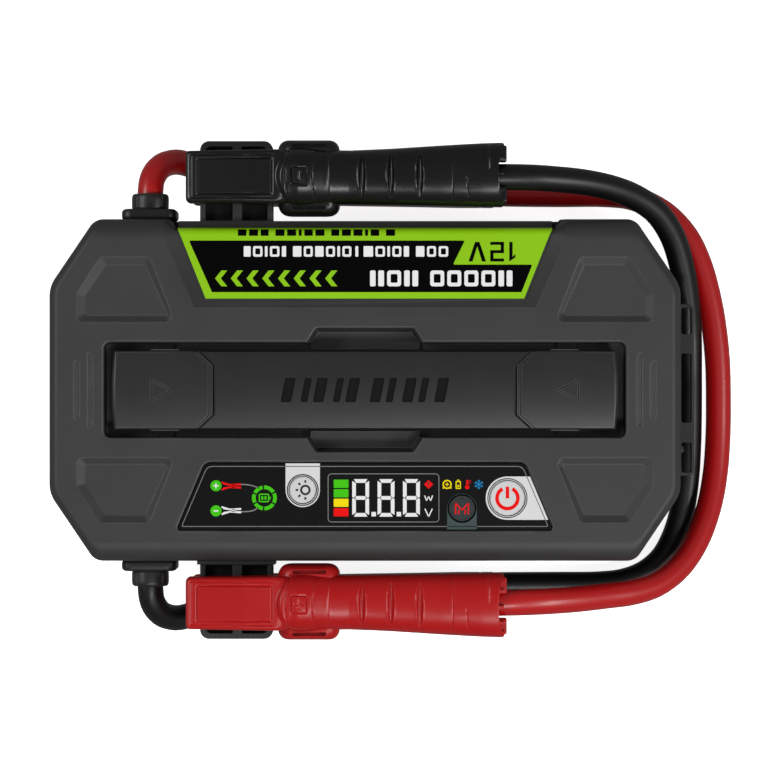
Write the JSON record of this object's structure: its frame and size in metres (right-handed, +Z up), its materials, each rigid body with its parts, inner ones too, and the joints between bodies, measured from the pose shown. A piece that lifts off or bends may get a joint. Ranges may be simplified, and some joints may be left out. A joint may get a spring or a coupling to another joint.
{
  "type": "jump starter pack",
  "caption": "Octagonal car jump starter case with a pull-up strap handle, keypad and display, side docks holding two battery clamps, and captive cables looped round one end.",
  "frame": {"origin": "middle of the case on the plane it rests on, inside the rubber base ring", "axes": "+Z up, out of the keypad face; +X along the case towards the port end, where the cables loop round; +Y towards the labelled long side with the black clamp"},
  "size_m": [0.264, 0.192, 0.0664],
  "materials": {
    "case_grey": "fine spark texture",
    "black_rubber": "matte",
    "zinc_steel": "zinc plated",
    "label_green": "satin printed film",
    "panel_black": "satin film",
    "circuit_green": "solder mask",
    "key_grey": "satin",
    "key_teal": "satin",
    "strap_grey": "satin elastomer",
    "trim_black": "fine texture",
    "cable_red": "glossy silicone",
    "cable_black": "glossy silicone",
    "clamp_black": "semi-gloss",
    "clamp_red": "semi-gloss",
    "jaw_copper": "stamped copper plate",
    "clear_lens": "clear",
    "mirror_silver": "metallised",
    "white_plastic": "white solder mask",
    "cell_wrap": "foil wrap",
    "nickel_strip": "nickel",
    "chip_black": "moulded",
    "sink_aluminium": "extruded"
  },
  "bodies": {
    "case": {"top_case": "case_grey", "bottom_case": "case_grey", "case_seal": "black_rubber", "case_screws": "zinc_steel", "rubber_base": "black_rubber", "label_plate": "label_green", "control_panel": "panel_black", "display_module": "panel_black", "control_board": "circuit_green", "strap_flex_left": "strap_grey", "strap_flex_right": "strap_grey", "strap_cover_left": "strap_grey", "strap_cover_right": "strap_grey", "strap_pins": "zinc_steel", "clamp_dock_black": "trim_black", "clamp_dock_red": "trim_black", "dock_screws": "zinc_steel", "cable_gland_red": "trim_black", "cable_gland_black": "trim_black", "cable_red": "cable_red", "cable_black": "cable_black", "clamp_upper_black": "clamp_black", "jaw_upper_black": "jaw_copper", "pivot_pin_black": "zinc_steel", "clamp_spring_black": "zinc_steel", "cable_grip_black": "clamp_black", "clamp_upper_red": "clamp_red", "jaw_upper_red": "jaw_copper", "pivot_pin_red": "zinc_steel", "clamp_spring_red": "zinc_steel", "cable_grip_red": "clamp_red", "port_guard": "trim_black", "port_hinge_pin": "zinc_steel", "port_sockets": "zinc_steel", "port_board": "circuit_green", "lamp_lens": "clear_lens", "lamp_reflector": "mirror_silver", "lamp_board": "white_plastic", "battery_cells": "cell_wrap", "battery_tray": "trim_black", "busbars": "nickel_strip", "main_board": "circuit_green", "power_switches": "chip_black", "heat_sink": "sink_aluminium", "internal_leads": "cable_black"},
    "grip": {"strap_grip": "strap_grey"},
    "slider_left": {"strap_slider_left": "zinc_steel"},
    "slider_right": {"strap_slider_right": "zinc_steel"},
    "lower_clamp_black": {"clamp_lower_black": "clamp_black", "jaw_lower_black": "jaw_copper"},
    "lower_clamp_red": {"clamp_lower_red": "clamp_red", "jaw_lower_red": "jaw_copper"},
    "power_key": {"button_power": "key_grey"},
    "light_key": {"button_light": "key_grey"},
    "mode_key": {"button_mode": "key_teal"},
    "port_flap": {"port_cover": "black_rubber"}
  },
  "joints": [
    {"name": "strap_lift", "type": "slide", "parent": "case", "child": "grip", "axis": [0, 0, 1], "range_m": [0, 0.02], "stiffness_N_per_m": 120, "springref_m": -0.004, "deforming": ["strap_flex_left", "strap_flex_right"]},
    {"name": "strap_slide_left", "type": "slide", "parent": "case", "child": "slider_left", "axis": [1, 0, 0], "range_m": [0, 0.005]},
    {"name": "strap_slide_right", "type": "slide", "parent": "case", "child": "slider_right", "axis": [-1, 0, 0], "range_m": [0, 0.005]},
    {"name": "clamp_open_black", "type": "hinge", "parent": "case", "child": "lower_clamp_black", "pos_m": [-0.0216, 0.0805, 0.0415], "axis": [0, -1, 0], "range_deg": [0, 16], "stiffness_Nm_per_rad": 0.6, "springref_deg": -28.65},
    {"name": "clamp_open_red", "type": "hinge", "parent": "case", "child": "lower_clamp_red", "pos_m": [-0.0216, -0.0805, 0.0415], "axis": [0, -1, 0], "range_deg": [0, 16], "stiffness_Nm_per_rad": 0.6, "springref_deg": -28.65},
    {"name": "power_press", "type": "slide", "parent": "case", "child": "power_key", "axis": [0, 0, -1], "range_m": [0, 0.0005], "stiffness_N_per_m": 900, "springref_m": -0.0006},
    {"name": "light_press", "type": "slide", "parent": "case", "child": "light_key", "axis": [0, 0, -1], "range_m": [0, 0.0005], "stiffness_N_per_m": 900, "springref_m": -0.0006},
    {"name": "mode_press", "type": "slide", "parent": "case", "child": "mode_key", "axis": [0, 0, -1], "range_m": [0, 0.0005], "stiffness_N_per_m": 900, "springref_m": -0.0006},
    {"name": "port_cover_swing", "type": "hinge", "parent": "case", "child": "port_flap", "pos_m": [0.1216, -0.0234, 0.02], "axis": [0, 0, -1], "range_deg": [0, 110]}
  ],
  "couplings": [
    {"joint": "strap_slide_left", "follows": "strap_lift", "ratio": 0.25},
    {"joint": "strap_slide_right", "follows": "strap_lift", "ratio": 0.25}
  ]
}
